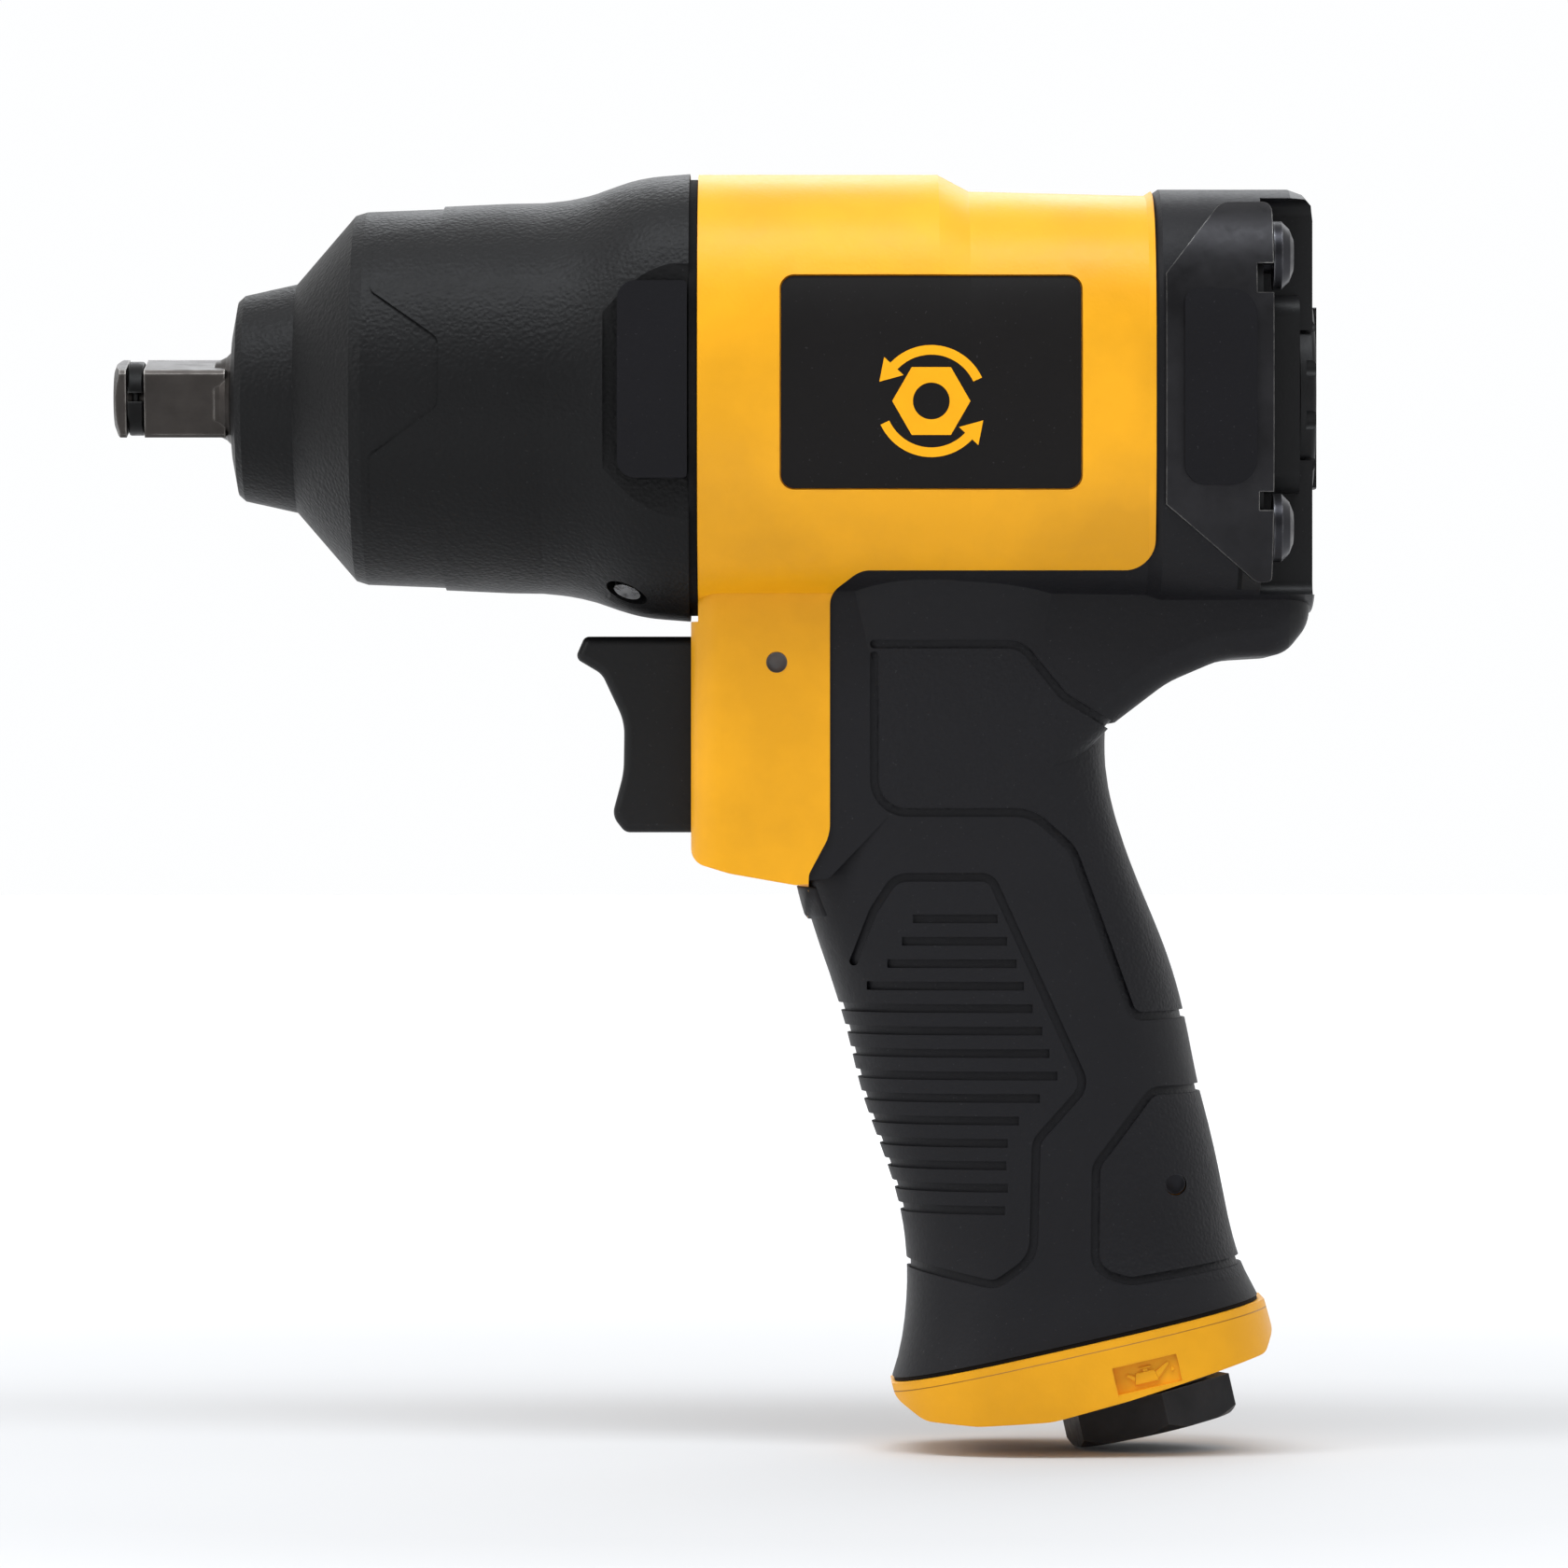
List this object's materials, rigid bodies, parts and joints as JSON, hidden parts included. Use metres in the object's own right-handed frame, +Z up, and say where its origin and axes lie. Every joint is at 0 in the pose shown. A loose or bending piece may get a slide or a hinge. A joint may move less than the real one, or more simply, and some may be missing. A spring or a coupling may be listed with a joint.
{
  "type": "air impact wrench",
  "caption": "Pistol-grip air impact wrench with a square drive, rubber-covered handle, trigger and threaded air inlet.",
  "frame": {"origin": "centre of the square drive's root, where the mouth of a socket seats", "axes": "-X out along the drive, +Z up away from the handle, Y across the tool"},
  "size_m": [0.1669, 0.062, 0.1767],
  "materials": {
    "case_black": "fine grained black coating",
    "rubber": "matt black rubber",
    "o_ring": "matt nitrile rubber",
    "tool_steel": "dark phosphate steel with worn edges",
    "bright_steel": "ground steel",
    "screw_steel": "black-oxide steel",
    "guard_steel": "dark coated sheet, bright at the edges",
    "spring_steel": "spring wire",
    "bronze": "sintered bronze",
    "yellow": "satin yellow moulding",
    "grip": "soft black grip skin",
    "black_plastic": "black moulding",
    "gasket": "pressed fibre gasket",
    "cast_iron": "machined iron",
    "vane": "phenolic",
    "cage_brass": "pressed brass",
    "label": "satin black label",
    "aluminium": "black anodised",
    "felt": "grey felt"
  },
  "bodies": {
    "body": {"hammer_case": "case_black", "nose_bushing": "bronze", "thrust_washer": "bright_steel", "grease_plug": "bright_steel", "front_gasket": "gasket", "front_pad_right": "rubber", "front_pad_left": "rubber", "motor_front_plate": "cast_iron", "motor_rear_plate": "cast_iron", "cylinder_liner": "cast_iron", "front_bearing_outer": "bright_steel", "rear_bearing_outer": "bright_steel", "motor_housing": "yellow", "grip_overmould": "grip", "rear_gasket": "gasket", "rear_cover": "black_plastic", "housing_bolts": "screw_steel", "side_guard_right": "guard_steel", "side_guard_left": "guard_steel", "rear_pad_right": "rubber", "rear_pad_left": "rubber", "side_label_right": "label", "side_label_left": "label", "top_label": "label", "rod_bushing": "bronze", "rod_o_ring": "o_ring", "trigger_spring": "spring_steel", "trigger_pin": "bright_steel", "valve_seat": "bronze", "throttle_spring": "spring_steel", "base_cap": "yellow", "base_gasket": "gasket", "muffler": "felt", "inlet_bushing": "screw_steel", "inlet_o_ring": "o_ring", "inlet_screen": "bright_steel", "handle_pin": "screw_steel"},
    "anvil": {"anvil": "tool_steel", "anvil_o_ring": "o_ring", "friction_ring": "tool_steel", "ring_backing_o_ring": "o_ring"},
    "hammer_carrier": {"hammer_cage": "bright_steel", "hammer_pins": "bright_steel"},
    "dog_front": {"hammer_dog_front": "bright_steel"},
    "dog_rear": {"hammer_dog_rear": "bright_steel"},
    "rotor": {"rotor": "bright_steel", "rotor_vanes": "vane", "front_bearing_inner": "bright_steel", "rear_bearing_inner": "bright_steel"},
    "front_ball_cage": {"front_bearing_cage": "cage_brass", "front_bearing_balls": "bright_steel"},
    "rear_ball_cage": {"rear_bearing_cage": "cage_brass", "rear_bearing_balls": "bright_steel"},
    "trigger": {"trigger": "black_plastic", "trigger_rod": "bright_steel"},
    "tip_valve": {"throttle_valve": "bright_steel"},
    "regulator": {"regulator_knob": "black_plastic", "regulator_valve": "aluminium", "knob_screw": "screw_steel"}
  },
  "joints": [
    {"name": "rotor_spin", "type": "hinge", "parent": "body", "child": "rotor", "pos_m": [0.095, 0, 0], "axis": [-1, 0, 0], "continuous": true},
    {"name": "carrier_spin", "type": "hinge", "parent": "body", "child": "hammer_carrier", "pos_m": [0.04, 0, 0], "axis": [-1, 0, 0], "continuous": true},
    {"name": "anvil_spin", "type": "hinge", "parent": "body", "child": "anvil", "pos_m": [0.01, 0, 0], "axis": [-1, 0, 0], "continuous": true},
    {"name": "front_balls_spin", "type": "hinge", "parent": "body", "child": "front_ball_cage", "pos_m": [0.071, 0, 0], "axis": [-1, 0, 0], "continuous": true},
    {"name": "rear_balls_spin", "type": "hinge", "parent": "body", "child": "rear_ball_cage", "pos_m": [0.119, 0, 0], "axis": [-1, 0, 0], "continuous": true},
    {"name": "front_dog_swing", "type": "hinge", "parent": "hammer_carrier", "child": "dog_front", "pos_m": [0.0325, 0, 0.0175], "axis": [1, 0, 0], "range_deg": [-4, 4]},
    {"name": "rear_dog_swing", "type": "hinge", "parent": "hammer_carrier", "child": "dog_rear", "pos_m": [0.047, 0, -0.0175], "axis": [1, 0, 0], "range_deg": [-4, 4]},
    {"name": "trigger_pull", "type": "slide", "parent": "body", "child": "trigger", "axis": [1, 0, 0], "range_m": [0, 0.005], "stiffness_N_per_m": 900, "springref_m": -0.002, "deforming": ["trigger_spring"]},
    {"name": "valve_tip", "type": "hinge", "parent": "body", "child": "tip_valve", "pos_m": [0.10844, 0, -0.06963], "axis": [0, 1, 0], "range_deg": [0, 13.1], "deforming": ["throttle_spring"]},
    {"name": "regulator_turn", "type": "hinge", "parent": "body", "child": "regulator", "pos_m": [0.151, 0, 0], "axis": [1, 0, 0], "range_deg": [-60, 60]}
  ],
  "couplings": [
    {"joint": "carrier_spin", "follows": "rotor_spin", "ratio": 1},
    {"joint": "anvil_spin", "follows": "rotor_spin", "ratio": 1},
    {"joint": "front_balls_spin", "follows": "rotor_spin", "ratio": 0.4056},
    {"joint": "rear_balls_spin", "follows": "rotor_spin", "ratio": 0.4056},
    {"joint": "rear_dog_swing", "follows": "front_dog_swing", "ratio": 1},
    {"joint": "valve_tip", "follows": "trigger_pull", "rad_per_m": 45.4}
  ]
}
